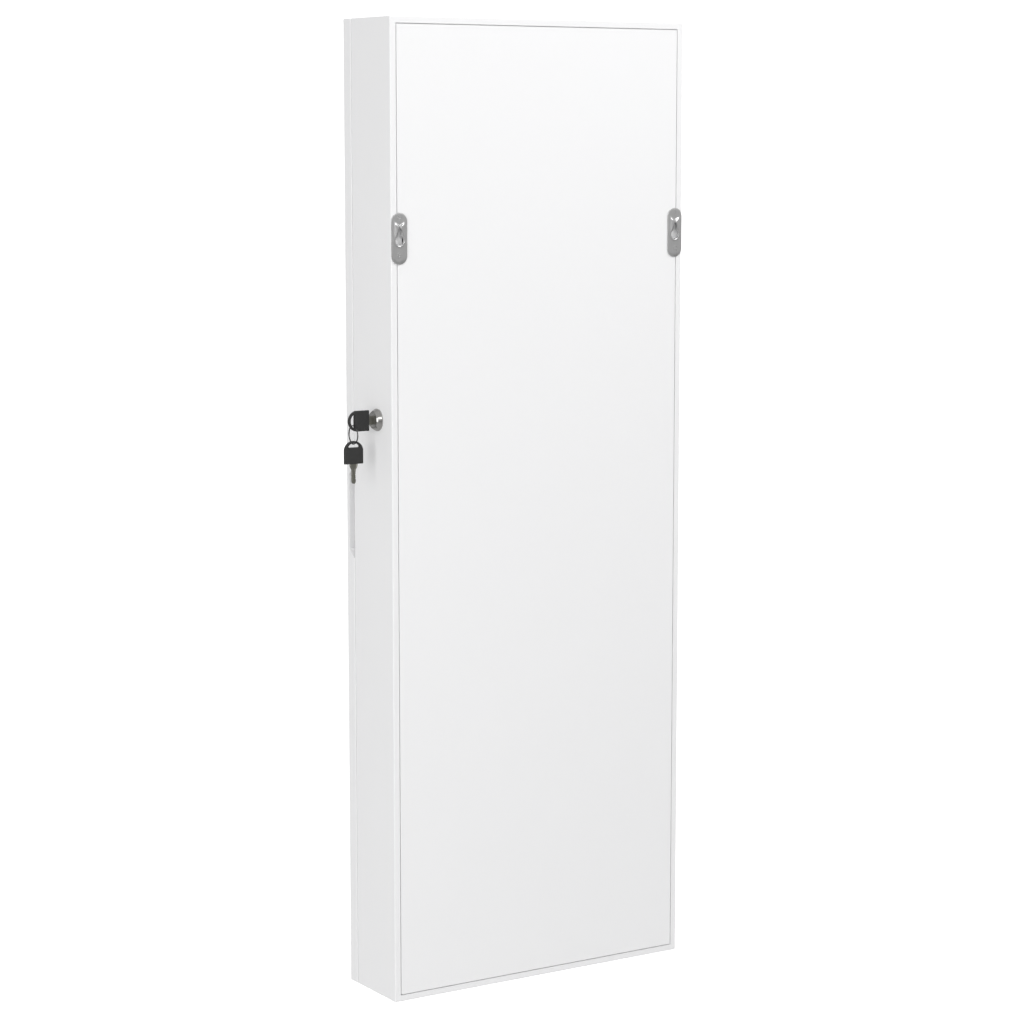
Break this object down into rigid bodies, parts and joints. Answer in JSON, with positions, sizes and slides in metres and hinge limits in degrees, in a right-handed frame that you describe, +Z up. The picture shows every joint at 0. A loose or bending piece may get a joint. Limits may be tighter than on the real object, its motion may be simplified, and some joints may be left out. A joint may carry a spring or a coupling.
{
  "type": "jewelry mirror cabinet",
  "caption": "Tall shallow wall-hung jewelry cabinet with a framed mirror door on side hinges, a side cam lock with its key and a spare on a ring, and keyhole hangers.",
  "frame": {"origin": "in the wall plane, midway between the round entry holes of the two wall hangers", "axes": "+Z up; the mirror door faces -Y and the wall is at +Y; the lock side is +X and the hinges are at -X"},
  "size_m": [0.4209, 0.1028, 1.06],
  "materials": {
    "white_lacquer": "satin white lacquer on fibreboard",
    "white_back": "satin white painted hardboard",
    "velvet_board": "hardboard covered with black velvet",
    "velvet_foam": "foam covered with black velvet",
    "beech": "plain turned beech",
    "satin_steel": "satin pressed steel",
    "zinc_steel": "zinc plated",
    "zinc_screw": "zinc plated",
    "nickel": "bright nickel plate",
    "dark_nickel": "bright nickel plate, in shadow",
    "key_metal": "brownish grey nickel silver",
    "black_plastic": "moulded, fine satin",
    "white_plastic": "moulded, satin",
    "clear_acrylic": "clear, polished",
    "magnet": "plain ferrite",
    "rubber": "soft, translucent grey",
    "mirror": "silvered glass"
  },
  "bodies": {
    "cabinet": {"left_side_panel": "white_lacquer", "right_side_panel": "white_lacquer", "top_panel": "white_lacquer", "bottom_panel": "white_lacquer", "back_panel": "white_back", "velvet_back_board": "velvet_board", "carcass_dowels": "beech", "left_hanger_plate": "satin_steel", "right_hanger_plate": "satin_steel", "hanger_screws": "zinc_screw", "lower_hinge_carcass_leaf": "nickel", "middle_hinge_carcass_leaf": "nickel", "upper_hinge_carcass_leaf": "nickel", "hinge_pins": "nickel", "hinge_carcass_screws": "zinc_screw", "lock_housing": "nickel", "lock_nut": "nickel", "magnet_catch_cases": "white_plastic", "catch_magnets": "magnet", "catch_screws": "zinc_screw", "door_bumpers": "rubber", "necklace_rail": "white_lacquer", "necklace_hooks": "nickel", "ring_tray": "velvet_board", "ring_rolls": "velvet_foam", "bracelet_rod": "nickel", "rod_cups": "white_plastic", "lower_shelf": "white_lacquer", "upper_shelf": "white_lacquer", "lower_shelf_fence": "clear_acrylic", "upper_shelf_fence": "clear_acrylic", "shelf_pegs": "zinc_screw"},
    "mirror_door": {"door_frame": "white_lacquer", "mirror_glass": "mirror", "door_backing_board": "velvet_board", "lower_hinge_door_leaf": "nickel", "middle_hinge_door_leaf": "nickel", "upper_hinge_door_leaf": "nickel", "hinge_door_screws": "zinc_screw", "striker_bracket": "zinc_steel", "striker_screws": "zinc_screw", "strike_plates": "zinc_steel", "strike_plate_screws": "zinc_screw", "earring_panel": "white_plastic", "earring_panel_spacers": "white_plastic", "door_tray": "clear_acrylic"},
    "plug_and_cam": {"lock_plug": "dark_nickel", "lock_cam": "zinc_steel", "cam_screw": "zinc_screw"},
    "key": {"lock_key_blade": "key_metal", "lock_key_head": "black_plastic"},
    "ring": {"key_ring": "key_metal"},
    "spare_key": {"spare_key_blade": "key_metal", "spare_key_head": "black_plastic"}
  },
  "joints": [
    {"name": "door_hinge", "type": "hinge", "parent": "cabinet", "child": "mirror_door", "pos_m": [-0.1903, -0.0862, -0.297], "axis": [0, 0, -1], "range_deg": [0, 120]},
    {"name": "key_turn", "type": "hinge", "parent": "cabinet", "child": "plug_and_cam", "pos_m": [0.1875, -0.0338, -0.1915], "axis": [1, 0, 0], "range_deg": [0, 90]},
    {"name": "key_pull", "type": "slide", "parent": "plug_and_cam", "child": "key", "axis": [1, 0, 0], "range_m": [0, 0.016]},
    {"name": "ring_swing", "type": "hinge", "parent": "key", "child": "ring", "pos_m": [0.2171, -0.0338, -0.1997], "axis": [1, 0, 0], "range_deg": [-90, 0]},
    {"name": "spare_key_swing", "type": "hinge", "parent": "ring", "child": "spare_key", "pos_m": [0.2171, -0.0338, -0.2157], "axis": [0, 1, 0], "range_deg": [-25, 25]}
  ],
  "couplings": [
    {"joint": "ring_swing", "follows": "key_turn", "ratio": -1}
  ]
}
